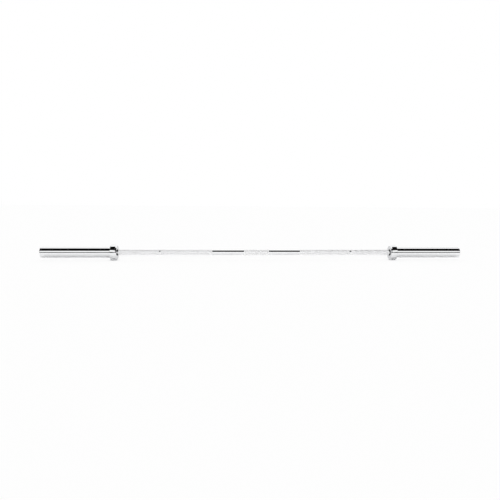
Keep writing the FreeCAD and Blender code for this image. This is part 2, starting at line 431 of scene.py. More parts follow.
@dataclass(frozen=True)
class PolishedChrome(Finish):
    """Buffed chrome plate: mirror bright, with faint smears, buffing lines round the bar, rubs along it."""

    colour: Colour = (0.955, 0.96, 0.97)
    smear_colour: Colour = (0.9, 0.91, 0.925)
    roughness: float = 0.02
    smear_roughness: float = 0.035  # added where the plate is smeared
    rub_roughness: float = 0.05  # added where it is rubbed
    smear_tint: float = 0.35
    rub_tint: float = 0.25
    smears: Patches = Patches((9.0, 22.0, 22.0), 0.48, 0.72, detail=4.0, roughness=0.55)
    rubs: Patches = Patches((5.0, 620.0, 620.0), 0.64, 0.78, detail=2.0)
    buffing: Grain = Grain(strength=0.05, height=0.02, cells=(2600.0, 18.0, 18.0), detail=3.0)

    def paint(self, recipe: Recipe) -> None:
        """Blends smears and rubs into colour and roughness, and cuts the buffing lines as bump.

        Args:
            recipe: The material's node tree.
        """
        smeared = self.smears.mask(recipe)
        rubbed = self.rubs.mask(recipe)
        tinted = smeared * self.smear_tint + rubbed * self.rub_tint
        bright = recipe.mix(tinted, self.colour, self.smear_colour)
        recipe.surface(
            {
                "Base Color": self.with_painted_shade(recipe, bright),
                "Metallic": 1.0,
                "Roughness": self.roughness + smeared * self.smear_roughness + rubbed * self.rub_roughness,
                "Normal": self.buffing.normal(recipe, self.buffing.pattern(recipe)),
            }
        )

    def with_painted_shade(self, recipe: Recipe, colour: Value) -> Value:
        """The colour with painted shade on it: none, unless a finish adds it."""
        return colour


@dataclass(frozen=True)
class ShaftChrome(PolishedChrome):
    """Buffed chrome on the shaft, darkened with painted shade where it enters the collars."""

    collar_shade: PaintedCollarShade = PaintedCollarShade()

    def with_painted_shade(self, recipe: Recipe, colour: Value) -> Value:
        """The colour with the painted shade on it."""
        return self.collar_shade.over(recipe, colour)


@dataclass(frozen=True)
class CollarChrome(PolishedChrome):
    """Buffed chrome on the collar's rim, over side faces that keep a duller facing cut."""

    faced: Colour = (0.62, 0.625, 0.64)
    faced_roughness: float = 0.03
    inner_face: float = 655.0
    outer_face: float = 685.0
    face_near: float = 0.1  # nearer than this to a face's station all is faced
    face_far: float = 0.3  # and further from it nothing
    ring_tint: float = 0.3
    rings: TurningRings = TurningRings(strength=0.06, height=0.03, per_metre=2400.0)

    def paint(self, recipe: Recipe) -> None:
        """Dulls the two side faces, which are found by their stations, and rings them by radius.

        Args:
            recipe: The material's node tree.
        """
        station = abs(recipe.component("X", recipe.place()))
        beside = [abs(station - face * MM) for face in (self.inner_face, self.outer_face)]
        nearest = recipe.math("MINIMUM", *beside)
        faced = 1.0 - recipe.smooth_step(nearest, self.face_near * MM, self.face_far * MM)
        rings = self.rings.pattern(recipe)
        smeared = self.smears.mask(recipe)
        bright = recipe.mix(smeared * self.smear_tint, self.colour, self.smear_colour)
        dulled = recipe.mix(rings * self.ring_tint, self.faced, self.smear_colour)
        buffed_roughness = self.roughness + smeared * self.smear_roughness
        recipe.surface(
            {
                "Base Color": recipe.mix(faced, bright, dulled),
                "Metallic": 1.0,
                "Roughness": buffed_roughness + faced * (self.faced_roughness - self.roughness),
                "Normal": self.rings.normal(recipe, rings * faced),
            }
        )


@dataclass(frozen=True)
class KnurledChrome(Finish):
    """Satin chrome on rolled diamonds: bright worn crests over grooves darkened with painted shade."""

    crest: Colour = (0.97, 0.97, 0.975)
    # painted shade: the grooves' darker colour stands in for the shade that falls in them
    shaded_groove: Colour = (0.91, 0.912, 0.918)
    metal_share: float = 0.6  # the rest scatters, as the rolled facets' fine grain does
    groove_radius: float = 12.32
    crest_radius: float = 12.65
    crest_roughness: float = 0.22
    groove_roughness: float = 0.3
    grain_roughness: float = 0.06
    handled_share: float = 0.25  # of a crest's wear, which hands add in patches
    handling: Patches = Patches((14.0, 40.0, 40.0), 0.35, 0.75)
    grain: Grain = Grain(strength=0.12, height=0.02, cells=(2400.0, 2400.0, 2400.0))
    collar_shade: PaintedCollarShade = PaintedCollarShade()

    def paint(self, recipe: Recipe) -> None:
        """Brightens and smooths from the grooves, darker with painted shade, to the worn crests, unevenly
        along the bar.

        Args:
            recipe: The material's node tree.
        """
        height = recipe.smooth_step(recipe.radius(), self.groove_radius * MM, self.crest_radius * MM)
        handled = self.handling.mask(recipe)
        grain = self.grain.pattern(recipe)
        # 1 on the crests: real wear there, and none of the grooves' painted shade
        crest_wear_and_light = height * (1.0 - self.handled_share + self.handled_share * handled)
        smoothing = self.groove_roughness - self.crest_roughness
        recipe.surface(
            {
                # the painted shade by the collars goes over the knurl's colour
                "Base Color": self.collar_shade.over(recipe, recipe.mix(crest_wear_and_light, self.shaded_groove, self.crest)),
                "Metallic": self.metal_share,
                "Roughness": self.groove_roughness - crest_wear_and_light * smoothing + grain * self.grain_roughness,
                "Normal": self.grain.normal(recipe, grain),
            }
        )


@dataclass(frozen=True)
class TurnedZinc(Finish):
    """Zinc plated steel with the fine rings of a facing cut."""

    bright: Colour = (0.72, 0.73, 0.75)
    dull: Colour = (0.5, 0.515, 0.54)
    roughness: float = 0.24
    cloud_roughness: float = 0.16
    ring_roughness: float = 0.08
    ring_tint: float = 0.55
    cloud_tint: float = 0.45
    cloud_cells: Cells = (60.0, 60.0, 60.0)
    cloud_detail: float = 4.0
    rings: TurningRings = TurningRings(strength=0.35, height=0.06, per_metre=3200.0)

    def paint(self, recipe: Recipe) -> None:
        """Rings by radius colour the steel and lift its surface; clouds dull the plating.

        Args:
            recipe: The material's node tree.
        """
        rings = self.rings.pattern(recipe)
        clouds = recipe.noise(self.cloud_cells, self.cloud_detail)
        brightness = rings * self.ring_tint + clouds * self.cloud_tint
        recipe.surface(
            {
                "Base Color": recipe.mix(brightness, self.dull, self.bright),
                "Metallic": 1.0,
                "Roughness": self.roughness + clouds * self.cloud_roughness + rings * self.ring_roughness,
                "Normal": self.rings.normal(recipe, rings),
            }
        )


@dataclass(frozen=True)
class PhosphatedSteel(Finish):
    """Spring steel under a thin oiled black phosphate coat."""

    coat: Colour = (0.035, 0.036, 0.04)
    rubbed: Colour = (0.16, 0.16, 0.17)
    metal_share: float = 0.7
    roughness: float = 0.38
    mottle_roughness: float = 0.18
    mottle_tint: float = 0.15
    bare_tint: float = 0.7
    mottle: Grain = Grain(
        strength=0.2, height=0.03, cells=(420.0, 420.0, 420.0), detail=5.0, roughness=0.65
    )
    bare: Patches = Patches((130.0, 130.0, 130.0), 0.58, 0.78)

    def paint(self, recipe: Recipe) -> None:
        """Mottles the coat and lets some steel through in patches.

        Args:
            recipe: The material's node tree.
        """
        mottle = self.mottle.pattern(recipe)
        bare = self.bare.mask(recipe)
        brightness = bare * self.bare_tint + mottle * self.mottle_tint
        recipe.surface(
            {
                "Base Color": recipe.mix(brightness, self.coat, self.rubbed),
                "Metallic": self.metal_share,
                "Roughness": self.roughness + mottle * self.mottle_roughness,
                "Normal": self.mottle.normal(recipe, mottle),
            }
        )


@dataclass(frozen=True)
class SealRubber(Finish):
    """Matte black nitrile rubber with a moulded grain and a trace of dust."""

    black: Colour = (0.012, 0.012, 0.013)
    dusty: Colour = (0.05, 0.05, 0.052)
    roughness: float = 0.58
    dust_roughness: float = 0.2
    dust: Patches = Patches((160.0, 160.0, 160.0), 0.5, 0.8, detail=4.0)
    grain: Grain = Grain(strength=0.25, height=0.04, cells=(1500.0, 1500.0, 1500.0))

    def paint(self, recipe: Recipe) -> None:
        """Greys the black where dust settles and grains the surface.

        Args:
            recipe: The material's node tree.
        """
        dust = self.dust.mask(recipe)
        recipe.surface(
            {
                "Base Color": recipe.mix(dust, self.black, self.dusty),
                "Roughness": self.roughness + dust * self.dust_roughness,
                "Normal": self.grain.normal(recipe, self.grain.pattern(recipe)),
            }
        )


@dataclass(frozen=True)
class MachinedMetal(Finish):
    """A bearing metal left as machined, with tool lines and a film of grease in places."""

    metal: Colour = (0.6, 0.61, 0.63)
    greased: Colour = (0.3, 0.29, 0.26)
    roughness: float = 0.2
    line_roughness: float = 0.15
    grease_smoothing: float = 0.06
    grease_tint: float = 0.6
    lines: Grain = Grain(strength=0.2, height=0.04, cells=(3000.0, 30.0, 30.0))
    grease: Patches = Patches((70.0, 70.0, 70.0), 0.45, 0.7)

    def paint(self, recipe: Recipe) -> None:
        """Tool lines lift the surface, and grease darkens and smooths it.

        Args:
            recipe: The material's node tree.
        """
        lines = self.lines.pattern(recipe)
        grease = self.grease.mask(recipe)
        recipe.surface(
            {
                "Base Color": recipe.mix(grease * self.grease_tint, self.metal, self.greased),
                "Metallic": 1.0,
                "Roughness": self.roughness + lines * self.line_roughness - grease * self.grease_smoothing,
                "Normal": self.lines.normal(recipe, lines),
            }
        )


CHROME = PolishedChrome("buffed chrome", "polished_chrome")
COLLAR_CHROME = CollarChrome("buffed collar chrome", "polished_chrome")
SHAFT_CHROME = ShaftChrome("ground chrome", "knurled_chrome", roughness=0.03, smear_roughness=0.03)
KNURL = KnurledChrome("rolled knurl chrome", "knurled_chrome")
CAP_STEEL = TurnedZinc("turned zinc steel", "cap_steel")
SPRING_STEEL = PhosphatedSteel("phosphated spring steel", "spring_steel")
RUBBER = SealRubber("seal nitrile", "seal_rubber")
WASHER_STEEL = MachinedMetal("ground washer steel", "washer_steel")
BRONZE = MachinedMetal(
    "bearing bronze", "bushing_bronze", metal=(0.66, 0.43, 0.2), greased=(0.3, 0.2, 0.1), roughness=0.26
)


class Bench:
    """Blender's modelling operators, aimed at one piece at a time."""

    @staticmethod
    def take(piece: bpy.types.Object) -> None:
        """Makes one piece the only one selected, and the active one.

        Args:
            piece: The piece to work on.
        """
        bpy.ops.object.select_all(action="DESELECT")
        piece.select_set(True)
        bpy.context.view_layer.objects.active = piece

    @staticmethod
    def settle(name: str) -> bpy.types.Object:
        """Names the piece just added and moves its place into its mesh.

        Args:
            name: The piece's name.

        Returns:
            The piece.
        """
        piece = bpy.context.object
        piece.name = name
        piece.data.name = name
        bpy.ops.object.transform_apply(location=True, rotation=True, scale=True)
        return piece

    @classmethod
    def disc(
        cls, name: str, start: float, end: float, radius: float, y: float = 0.0, z: float = 0.0
    ) -> bpy.types.Object:
        """Adds a round blank along X.

        Args:
            name: The blank's name.
            start: Station of its first face.
            end: Station of its second face.
            radius: Its radius.
            y: Its axis's place across the bar.
            z: Its axis's height.

        Returns:
            The blank.
        """
        bpy.ops.object.select_all(action="DESELECT")
        bpy.ops.mesh.primitive_cylinder_add(
            vertices=BLANK_SIDES,
            radius=radius * MM,
            depth=(end - start) * MM,
            location=((start + end) / 2 * MM, y * MM, z * MM),
            rotation=(0.0, math.pi / 2, 0.0),
        )
        return cls.settle(name)

    @classmethod
    def turn(cls, name: str, outline: Sequence[Corner], form: Form, sides: int) -> bpy.types.Object:
        """Turns a piece about X: a circle is extruded from corner to corner of its outline.

        Args:
            name: The piece's name.
            outline: (station, radius) corners, in order.
            form: Whether the first circle is a face, or an edge that the outline comes back to.
            sides: Points round the circle.

        Returns:
            The piece, welded, with its faces turned outwards.
        """
        corners = list(outline)
        if form is Form.RING:
            corners.append(corners[0])
        (station, radius), *rest = corners
        bpy.ops.object.select_all(action="DESELECT")
        bpy.ops.mesh.primitive_circle_add(
            vertices=sides,
            radius=radius * MM,
            fill_type="NGON" if form is Form.SOLID else "NOTHING",
            location=(station * MM, 0.0, 0.0),
            rotation=(0.0, math.pi / 2, 0.0),
        )
        piece = cls.settle(name)
        bpy.ops.object.mode_set(mode="EDIT")
        bpy.ops.mesh.select_all(action="SELECT")
        for next_station, next_radius in rest:
            step = (next_station - station) * MM
            scale = next_radius / radius
            bpy.ops.mesh.extrude_region_move(TRANSFORM_OT_translate={"value": (step, 0.0, 0.0)})
            centre = (next_station * MM, 0.0, 0.0)
            bpy.ops.transform.resize(value=(1.0, scale, scale), center_override=centre)
            station, radius = next_station, next_radius
        cls.weld()
        bpy.ops.object.mode_set(mode="OBJECT")
        return piece

    @staticmethod
    def weld() -> None:
        """In edit mode, merges doubled points and turns every face outwards."""
        bpy.ops.mesh.select_all(action="SELECT")
        bpy.ops.mesh.remove_doubles(threshold=WELD)
        bpy.ops.mesh.normals_make_consistent(inside=False)

    @staticmethod
    def select_edges(piece: bpy.types.Object, chosen: Callable[[Vector, Vector], bool]) -> None:
        """In edit mode, selects edges by their place.

        Args:
            piece: The piece in edit mode.
            chosen: Says of an edge's two ends whether the edge is wanted.
        """
        bpy.ops.mesh.select_mode(type="EDGE")
        bpy.ops.mesh.select_all(action="DESELECT")
        cage = bmesh.from_edit_mesh(piece.data)
        for edge in cage.edges:
            if chosen(edge.verts[0].co, edge.verts[1].co):
                edge.select_set(True)
        bmesh.update_edit_mesh(piece.data)

    @classmethod
    def apply(cls, piece: bpy.types.Object, kind: str, settings: dict) -> None:
        """Adds a modifier and applies it.

        Args:
            piece: The piece that gets it.
            kind: The modifier's type.
            settings: Its properties by name.
        """
        cls.take(piece)
        modifier = piece.modifiers.new(kind.lower(), kind)
        for name, setting in settings.items():
            setattr(modifier, name, setting)
        bpy.ops.object.modifier_apply(modifier=modifier.name)

    @classmethod
    def cut(cls, piece: bpy.types.Object, tool: bpy.types.Object) -> None:
        """Cuts a tool's shape out of a piece and puts the tool away.

        Args:
            piece: The piece that is cut.
            tool: The cutting shape, which is deleted.
        """
        cls.apply(piece, "BOOLEAN", {"operation": "DIFFERENCE", "object": tool, "solver": "EXACT"})
        bpy.data.objects.remove(tool)

    @classmethod
    def ease(cls, piece: bpy.types.Object, width: float, segments: int = 2) -> None:
        """Rounds a piece's sharp edges a little and shades it smoothly, with its flats left flat.

        Args:
            piece: The piece.
            width: Width of the rounding.
            segments: Steps in the rounding.
        """
        bevel = {
            "limit_method": "ANGLE",
            "angle_limit": math.radians(SHARP_EDGE),
            "width": width * MM,
            "segments": segments,
        }
        cls.apply(piece, "BEVEL", bevel)
        bpy.ops.object.shade_smooth_by_angle(angle=math.radians(SMOOTH_EDGE))
        cls.apply(piece, "WEIGHTED_NORMAL", {"keep_sharp": True, "weight": FLAT_WEIGHT})

    @classmethod
    def carry_to_left(cls, piece: bpy.types.Object, name: str) -> bpy.types.Object:
        """Copies a right-hand piece, with its own mesh, to the left end by half a turn about Z.

        Args:
            piece: The right-hand piece.
            name: The copy's name.

        Returns:
            The copy.
        """
        cls.take(piece)
        bpy.ops.object.duplicate(linked=False)
        bpy.ops.transform.rotate(value=math.pi, orient_axis="Z", center_override=(0.0, 0.0, 0.0))
        return cls.settle(name)


def dress(piece: bpy.types.Object, finish: Finish, body: str, node: str) -> None:
    """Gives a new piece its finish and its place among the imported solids.

    Args:
        piece: The new piece.
        finish: What it is made of.
        body: The body that it moves with.
        node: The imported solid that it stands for.
    """
    piece.data.materials.clear()
    piece.data.materials.append(finish.material())
    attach(piece, body)
    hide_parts(node)
    LOG.info("%s: %d faces, %s", piece.name, len(piece.data.polygons), finish.label)


@dataclass
class GripShaft:
    """The one-piece shaft: a turned core with five bands of rolled diamonds."""

    grip_radius: float = 12.5
    seat_radius: float = 12.2  # of the core under the knurled bands
    centre_end: float = 60.0
    hands_start: float = 210.0
    mark_start: float = 455.0
    mark_end: float = 460.0
    mark_radius: float = 12.3
    hands_end: float = 652.0
    shoulder: float = 661.25
    relief_width: float = 2.0
    relief_depth: float = 0.3
    journal_radius: float = 11.0
    groove_start: float = 986.65
    groove_end: float = 987.95
    groove_radius: float = 10.5
    end: float = 992.95
    end_chamfer: float = 1.5
    centre_mouth: float = 3.15
    centre_pilot: float = 1.25
    centre_cone: float = 3.29
    centre_depth: float = 9.29
    diamonds_round: int = 60
    diamond_corners: int = 4
    diamond_angle: float = 30.0  # degrees, between a groove and the bar
    groove_floor: float = 12.32
    diamond_height: float = 0.33
    flank_width: float = 0.36
    band_margin: float = 0.05  # between a band's end and the core's shoulder
    band_lining: float = 12.0  # radius of a band's hidden inner wall
    lining_slack: float = 0.05  # how far past that radius the wall's edges are looked for
    edge_rounding: float = 0.04
    sides: int = 128

    def build(self) -> None:
        """Builds the core and the bands, the right-hand ones first and then their copies."""
        dress(self.core(), SHAFT_CHROME, "shaft", "shaft")
        dress(self.band("centre_knurl", -self.centre_end, self.centre_end), KNURL, "shaft", "shaft")
        spans = {
            "hand_knurl": (self.hands_start, self.mark_start),
            "end_knurl": (self.mark_end, self.hands_end),
        }
        for name, (start, end) in spans.items():
            right = self.band(Side.RIGHT.named(name), start, end)
            left = Bench.carry_to_left(right, Side.LEFT.named(name))
            for piece in (left, right):
                dress(piece, KNURL, "shaft", "shaft")

    def core(self) -> bpy.types.Object:
        """The turned shaft itself, with a lathe centre in each end.

        Returns:
            The core, which wears plain chrome between the bands.
        """
        relief_radius = self.journal_radius - self.relief_depth
        relief_end = self.shoulder + self.relief_width
        right_half = [
            (self.centre_end, self.seat_radius),
            (self.centre_end, self.grip_radius),
            (self.hands_start, self.grip_radius),
            (self.hands_start, self.seat_radius),
            (self.mark_start, self.seat_radius),
            (self.mark_start, self.mark_radius),
            (self.mark_end, self.mark_radius),
            (self.mark_end, self.seat_radius),
            (self.hands_end, self.seat_radius),
            (self.hands_end, self.grip_radius),
            (self.shoulder, self.grip_radius),
            (self.shoulder, relief_radius),
            (relief_end, relief_radius),
            (relief_end + self.relief_depth, self.journal_radius),
            (self.groove_start, self.journal_radius),
            (self.groove_start, self.groove_radius),
            (self.groove_end, self.groove_radius),
            (self.groove_end, self.journal_radius),
            (self.end - self.end_chamfer, self.journal_radius),
            (self.end, self.journal_radius - self.end_chamfer),
            (self.end, self.centre_mouth),
            (self.end - self.centre_cone, self.centre_pilot),
            (self.end - self.centre_depth, self.centre_pilot),
        ]
        left_half = [(-station, radius) for station, radius in reversed(right_half)]
        core = Bench.turn("shaft_core", left_half + right_half, Form.SOLID, self.sides)
        Bench.ease(core, self.edge_rounding)
        return core

    def band(self, name: str, start: float, end: float) -> bpy.types.Object:
        """One knurled band: a sheet of diamonds rolled up, with its ends and lining closed.

        Args:
            name: The band's name.
            start: Station of its first end.
            end: Station of its second end.

        Returns:
            The band.
        """
        low = start + self.band_margin
        high = end - self.band_margin
        piece = self.sheet(name, low, high)
        self.roll_up(piece)
        self.close(piece, low, high)
        return piece

    def sheet(self, name: str, low: float, high: float) -> bpy.types.Object:
        """A flat sheet of diamonds, long ways along X and round ways along Z.

        Args:
            name: The band's name.
            low: Where the first diamonds start.
            high: Where the last ones end.

        Returns:
            The sheet, with its diamonds standing up towards -Y.
        """
        across = 2.0 * math.pi * self.groove_floor / self.diamonds_round
        wanted = across / math.tan(math.radians(self.diamond_angle))
        margin = 2.0 * self.band_margin
        count = int((high - low - margin) / wanted - 0.5)
        along = (high - low - margin) / (count + 0.5)
        bpy.ops.object.select_all(action="DESELECT")
        bpy.ops.mesh.primitive_circle_add(
            vertices=self.diamond_corners,
            radius=across / 2.0 * MM,
            fill_type="NGON",
            location=((low + self.band_margin + along / 2.0) * MM, 0.0, 0.0),
            rotation=(math.pi / 2, 0.0, 0.0),
        )
        bpy.ops.transform.resize(value=(along / across, 1.0, 1.0))
        piece = Bench.settle(name)
        bpy.ops.object.mode_set(mode="EDIT")
        bpy.ops.mesh.select_all(action="SELECT")
        bpy.ops.mesh.inset(thickness=self.flank_width * MM, depth=self.diamond_height * MM)
        bpy.ops.mesh.select_all(action="SELECT")
        half_step = (along / 2.0 * MM, 0.0, across / 2.0 * MM)
        bpy.ops.mesh.duplicate_move(TRANSFORM_OT_translate={"value": half_step})
        bpy.ops.object.mode_set(mode="OBJECT")
        round_ways = (0.0, 0.0, across * MM)
        long_ways = (along * MM, 0.0, 0.0)
        for step, copies in ((round_ways, self.diamonds_round), (long_ways, count)):
            settings = {
                "use_relative_offset": False,
                "use_constant_offset": True,
                "constant_offset_displace": step,
                "count": copies,
            }
            Bench.apply(piece, "ARRAY", settings)
        return piece

    def roll_up(self, piece: bpy.types.Object) -> None:
        """Bends a sheet round the bar's axis until its first and last diamonds mesh, and welds them.

        Args:
            piece: The flat sheet.
        """
        turn = 2.0 * math.pi * (self.diamonds_round + 0.5) / self.diamonds_round
        Bench.apply(piece, "SIMPLE_DEFORM", {"deform_method": "BEND", "deform_axis": "X", "angle": turn})
        bpy.ops.transform.translate(value=(0.0, -self.groove_floor * MM, 0.0))
        bpy.ops.object.transform_apply(location=True, rotation=True, scale=True)
        bpy.ops.object.mode_set(mode="EDIT")
        bpy.ops.mesh.select_all(action="SELECT")
        bpy.ops.mesh.remove_doubles(threshold=SEAM_WELD)
        bpy.ops.object.mode_set(mode="OBJECT")

    def close(self, piece: bpy.types.Object, low: float, high: float) -> None:
        """Squares off a band's zigzag ends, turns them in and joins them by a lining.

        Args:
            piece: The rolled band.
            low: Station of its first end.
            high: Station of its second end.
        """
        middle = (low + high) / 2.0 * MM
        shrink = self.band_lining / self.groove_floor
        for station, first_half in ((low, True), (high, False)):
            bpy.ops.object.mode_set(mode="EDIT")
            bpy.ops.mesh.select_mode(type="EDGE")
            bpy.ops.mesh.select_all(action="DESELECT")
            bpy.ops.mesh.select_non_manifold(extend=False)
            self.keep_half(piece, middle, first_half)
            centre = (station * MM, 0.0, 0.0)
            bpy.ops.mesh.extrude_region_move()
            bpy.ops.transform.resize(value=(0.0, 1.0, 1.0), center_override=centre)
            bpy.ops.mesh.extrude_region_move()
            bpy.ops.transform.resize(value=(1.0, shrink, shrink), center_override=centre)
            bpy.ops.object.mode_set(mode="OBJECT")
        limit = (self.band_lining + self.lining_slack) * MM
        bpy.ops.object.mode_set(mode="EDIT")
        Bench.select_edges(piece, lambda a, b: max(math.hypot(a.y, a.z), math.hypot(b.y, b.z)) < limit)
        bpy.ops.mesh.bridge_edge_loops()
        bpy.ops.mesh.select_all(action="SELECT")
        bpy.ops.mesh.normals_make_consistent(inside=False)
        bpy.ops.object.mode_set(mode="OBJECT")

    @staticmethod
    def keep_half(piece: bpy.types.Object, middle: float, first_half: bool) -> None:
        """In edit mode, drops the selected edges on one side of a station.

        Args:
            piece: The piece in edit mode.
            middle: The station, in metres.
            first_half: Whether the edges before the station stay selected.
        """
        cage = bmesh.from_edit_mesh(piece.data)
        for edge in cage.edges:
            if edge.select and (edge.verts[0].co.x < middle) is not first_half:
                edge.select_set(False)
        bmesh.update_edit_mesh(piece.data)


@dataclass
class SleeveEnd:
    """One end's spinning sleeve: tube, collar, dust seal, end cap and the cap's retaining ring."""

    inner_face: float = 655.0
    outer_face: float = 685.0
    collar_radius: float = 36.0
    taper_length: float = 5.0
    taper_height: float = 4.0
    edge_chamfer: float = 1.0
    mouth_chamfer: float = 0.4
    register: float = 683.0
    tube_start: float = 661.0
    spigot_radius: float = 23.0
    spigot_chamfer: float = 0.8
    undercut_end: float = 686.0
    undercut_radius: float = 24.6
    sleeve_radius: float = 25.0
    sleeve_end: float = 1005.0
    end_chamfer: float = 2.0
    cap_recess_radius: float = 19.45
    cap_groove_start: float = 1000.9
    cap_groove_end: float = 1002.5
    cap_seat: float = 996.95
    chamber_radius: float = 17.45
    bushing_radius: float = 16.45
    bore_radius: float = 15.85
    inner_bushing_end: float = 693.5
    outer_bushing_start: float = 954.45
    outer_bushing_end: float = 984.45
    seal_radius: float = 16.0
    seal_face: float = 655.6
    seal_seat: float = 659.5
    web_radius: float = 13.0
    lip_edge: float = 12.6
    lip_back: float = 13.5
    channel_wall: float = 14.7
    channel_floor: float = 657.4
    cap_rim: float = 19.35
    cap_chamfer: float = 0.5
    cap_face: float = 1000.95
    boss_radius: float = 13.7
    boss_top: float = 1002.35
    dish_rim: float = 10.7
    dish_radius: float = 9.9
    dish_floor: float = 1001.55
    ring_end: float = 1002.45
    ring_radius: float = 20.7
    ring_bore: float = 17.7
    ring_offset: float = 1.0
    lug_radius: float = 2.75
    lug_side: float = 6.09
    lug_height: float = 16.885
    plier_hole: float = 1.25
    ring_gap: float = 8.0
    cut_past: float = 1.0  # how far a cutting shape stands out of what it cuts
    edge_rounding: float = 0.12
    collar_rounding: float = 0.2
    collar_steps: int = 3
    ring_rounding: float = 0.1
    sides: int = 160

    def build(self) -> None:
        """Builds the right-hand pieces, copies each to the left end and dresses both."""
        made = (
            ("sleeve_tube", self.tube(), CHROME),
            ("collar", self.collar(), COLLAR_CHROME),
            ("dust_seal", self.seal(), RUBBER),
            ("end_cap", self.cap(), CAP_STEEL),
            ("cap_retaining_ring", self.ring(), SPRING_STEEL),
        )
        for node, piece, finish in made:
            piece.name = f"{Side.RIGHT.named(node)}_fine"
            copy = Bench.carry_to_left(piece, f"{Side.LEFT.named(node)}_fine")
            dress(piece, finish, Side.RIGHT.body, Side.RIGHT.named(node))
            dress(copy, finish, Side.LEFT.body, Side.LEFT.named(node))

    def tube(self) -> bpy.types.Object:
        """The loading tube, with its spigot, bushing seats and mouth for the cap.

        Returns:
            The tube.
        """
        outline = [
            (self.tube_start, self.bushing_radius),
            (self.tube_start, self.spigot_radius - self.spigot_chamfer),
            (self.tube_start + self.spigot_chamfer, self.spigot_radius),
            (self.register, self.spigot_radius),
            (self.register, self.undercut_radius),
            (self.undercut_end, self.undercut_radius),
            (self.undercut_end, self.sleeve_radius),
            (self.sleeve_end - self.end_chamfer, self.sleeve_radius),
            (self.sleeve_end, self.sleeve_radius - self.end_chamfer),
            (self.sleeve_end, self.cap_recess_radius),
            (self.cap_groove_end, self.cap_recess_radius),
            (self.cap_groove_end, self.ring_radius),
            (self.cap_groove_start, self.ring_radius),
            (self.cap_groove_start, self.cap_recess_radius),
            (self.cap_seat, self.cap_recess_radius),
            (self.cap_seat, self.chamber_radius),
            (self.outer_bushing_end, self.chamber_radius),
            (self.outer_bushing_end, self.bushing_radius),
            (self.outer_bushing_start, self.bushing_radius),
            (self.outer_bushing_start, self.bore_radius),
            (self.inner_bushing_end, self.bore_radius),
            (self.inner_bushing_end, self.bushing_radius),
        ]
        tube = Bench.turn("sleeve_tube", outline, Form.RING, self.sides)
        Bench.ease(tube, self.edge_rounding)
        return tube

    def collar(self) -> bpy.types.Object:
        """The collar that stops the plates, cupped over the tube's spigot.

        Returns:
            The collar.
        """
        edge = self.edge_chamfer
        mouth = self.mouth_chamfer
        mouth_depth = mouth + self.sleeve_radius - self.undercut_radius
        outline = [
            (self.inner_face, self.seal_radius + mouth),
            (self.inner_face, self.collar_radius - self.taper_height),
            (self.inner_face + self.taper_length, self.collar_radius),
            (self.outer_face - edge, self.collar_radius),
            (self.outer_face, self.collar_radius - edge),
            (self.outer_face, self.sleeve_radius + mouth),
            (self.outer_face - mouth_depth, self.undercut_radius),
            (self.register, self.undercut_radius),
            (self.register, self.spigot_radius),
            (self.tube_start, self.spigot_radius),
            (self.tube_start, self.web_radius),
            (self.seal_seat, self.web_radius),
            (self.seal_seat, self.seal_radius),
            (self.inner_face + mouth, self.seal_radius),
        ]
        collar = Bench.turn("collar", outline, Form.RING, self.sides)
        Bench.ease(collar, self.collar_rounding, self.collar_steps)
        return collar

    def seal(self) -> bpy.types.Object:
        """The rubber wiper in the collar's inner face, with a channel behind its lip.

        Returns:
            The seal.
        """
        outline = [
            (self.seal_face, self.lip_edge),
            (self.seal_face, self.lip_back),
            (self.channel_floor, self.lip_back),
            (self.channel_floor, self.channel_wall),
            (self.seal_face, self.channel_wall),
            (self.seal_face, self.seal_radius),
            (self.seal_seat, self.seal_radius),
            (self.seal_seat, self.web_radius),
            (self.channel_floor, self.web_radius),
        ]
        seal = Bench.turn("dust_seal", outline, Form.RING, self.sides)
        Bench.ease(seal, self.edge_rounding)
        return seal

    def cap(self) -> bpy.types.Object:
        """The turned disc that closes the sleeve, with a low dished boss.

        Returns:
            The cap.
        """
        chamfer = self.cap_chamfer
        outline = [
            (self.cap_seat, self.cap_rim - chamfer),
            (self.cap_seat + chamfer, self.cap_rim),
            (self.cap_face - chamfer, self.cap_rim),
            (self.cap_face, self.cap_rim - chamfer),
            (self.cap_face, self.boss_radius),
            (self.boss_top - chamfer, self.boss_radius),
            (self.boss_top, self.boss_radius - chamfer),
            (self.boss_top, self.dish_rim),
            (self.dish_floor, self.dish_radius),
        ]
        cap = Bench.turn("end_cap", outline, Form.SOLID, self.sides)
        Bench.ease(cap, self.edge_rounding)
        return cap

    def ring(self) -> bpy.types.Object:
        """The inside retaining ring: tapered arms, a gap at the top and two lugs with plier holes.

        Returns:
            The ring.
        """
        start = self.cap_face
        end = self.ring_end
        past = self.cut_past
        further = 2.0 * past
        ring = Bench.disc("cap_retaining_ring", start, end, self.ring_radius)
        hollow = Bench.disc("hollow", start - past, end + past, self.ring_bore, z=self.ring_offset)
        for y in (-self.lug_side, self.lug_side):
            lug = Bench.disc("lug", start - further, end + further, self.lug_radius, y, self.lug_height)
            Bench.cut(hollow, lug)
        Bench.cut(ring, hollow)
        for y in (-self.lug_side, self.lug_side):
            hole = Bench.disc("plier_hole", start - past, end + past, self.plier_hole, y, self.lug_height)
            Bench.cut(ring, hole)
        bpy.ops.object.select_all(action="DESELECT")
        bpy.ops.mesh.primitive_cube_add(
            size=1.0,
            location=((start + end) / 2.0 * MM, 0.0, self.ring_radius * MM),
            scale=((end - start + further) * MM, self.ring_gap * MM, self.ring_radius * MM),
        )
        Bench.cut(ring, Bench.settle("gap"))
        Bench.ease(ring, self.ring_rounding)
        return ring


@dataclass
class BearingStack:
    """The pieces inside each sleeve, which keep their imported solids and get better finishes."""

    nodes: dict[str, bpy.types.Object]

    def build(self) -> None:
        """Puts each hidden piece's finish in its own material slot."""
        finishes = {
            "inner_thrust_washer": WASHER_STEEL,
            "outer_thrust_washer": WASHER_STEEL,
            "inner_bushing": BRONZE,
            "outer_bushing": BRONZE,
            "shaft_retaining_ring": SPRING_STEEL,
        }
        for side in Side:
            for name, finish in finishes.items():
                node = self.nodes[side.named(name)]
                node.material_slots[0].material = finish.material()
                LOG.info("%s: packed solid, %s", node.name, finish.label)


